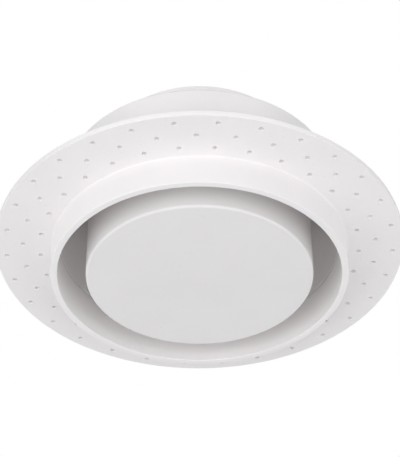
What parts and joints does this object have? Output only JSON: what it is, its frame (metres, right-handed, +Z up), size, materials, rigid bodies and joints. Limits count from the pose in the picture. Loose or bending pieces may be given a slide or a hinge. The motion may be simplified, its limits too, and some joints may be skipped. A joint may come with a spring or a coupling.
{
  "type": "ceiling air diffuser",
  "caption": "Round trimless ceiling air diffuser: a perforated flange to be filled over, a deep collar, and a flush central plug that screws in to throttle the air.",
  "frame": {"origin": "centre of the flange's back face, which seats on the ceiling board", "axes": "+Z up into the ceiling, along the axis of collar, plug and duct spigot; +Y along one arm of the bridge; the room is towards -Z"},
  "size_m": [0.25, 0.25, 0.1038],
  "materials": {
    "flange_plastic": "matt white moulded ABS",
    "housing_plastic": "matt white moulded ABS",
    "plug_plastic": "fine matt white moulded ABS",
    "inner_plastic": "white moulded ABS, hidden side",
    "acetal": "natural acetal, slightly waxy",
    "zinc_steel": "bright zinc plate",
    "spring_steel": "drawn spring steel",
    "gasket_foam": "white closed-cell foam",
    "seal_rubber": "moulded EPDM rubber"
  },
  "bodies": {
    "housing": {"mounting_flange": "flange_plastic", "housing_shell": "housing_plastic", "duct_spigot": "housing_plastic", "duct_seal": "seal_rubber", "housing_gasket": "gasket_foam", "spigot_gasket": "gasket_foam", "bridge": "inner_plastic", "threaded_bush": "acetal", "spring": "spring_steel", "housing_screw_1": "zinc_steel", "housing_screw_2": "zinc_steel", "housing_screw_3": "zinc_steel", "housing_screw_4": "zinc_steel", "spigot_screw_1": "zinc_steel", "spigot_screw_2": "zinc_steel", "spigot_screw_3": "zinc_steel", "spigot_screw_4": "zinc_steel", "spigot_screw_5": "zinc_steel", "spigot_screw_6": "zinc_steel", "bridge_screw_1": "zinc_steel", "bridge_screw_2": "zinc_steel", "bridge_screw_3": "zinc_steel"},
    "thrust_washer": {"thrust_washer": "acetal"},
    "plug": {"plug_cap": "plug_plastic", "plug_back": "inner_plastic", "plug_seal": "gasket_foam", "spindle": "acetal", "spindle_screw": "zinc_steel", "spindle_washer": "zinc_steel", "stop_washer": "zinc_steel", "retaining_clip": "spring_steel", "plug_screw_1": "zinc_steel", "plug_screw_2": "zinc_steel", "plug_screw_3": "zinc_steel", "plug_screw_4": "zinc_steel"}
  },
  "joints": [
    {"name": "plug_travel", "type": "slide", "parent": "housing", "child": "thrust_washer", "axis": [0, 0, 1], "range_m": [-0.0051, 0.0261], "deforming": ["spring"]},
    {"name": "plug_turn", "type": "hinge", "parent": "thrust_washer", "child": "plug", "pos_m": [0, 0, 0], "axis": [0, 0, 1], "range_deg": [-450, 2340]}
  ],
  "couplings": [
    {"joint": "plug_travel", "follows": "plug_turn", "m_per_rad": 0.00063662}
  ]
}
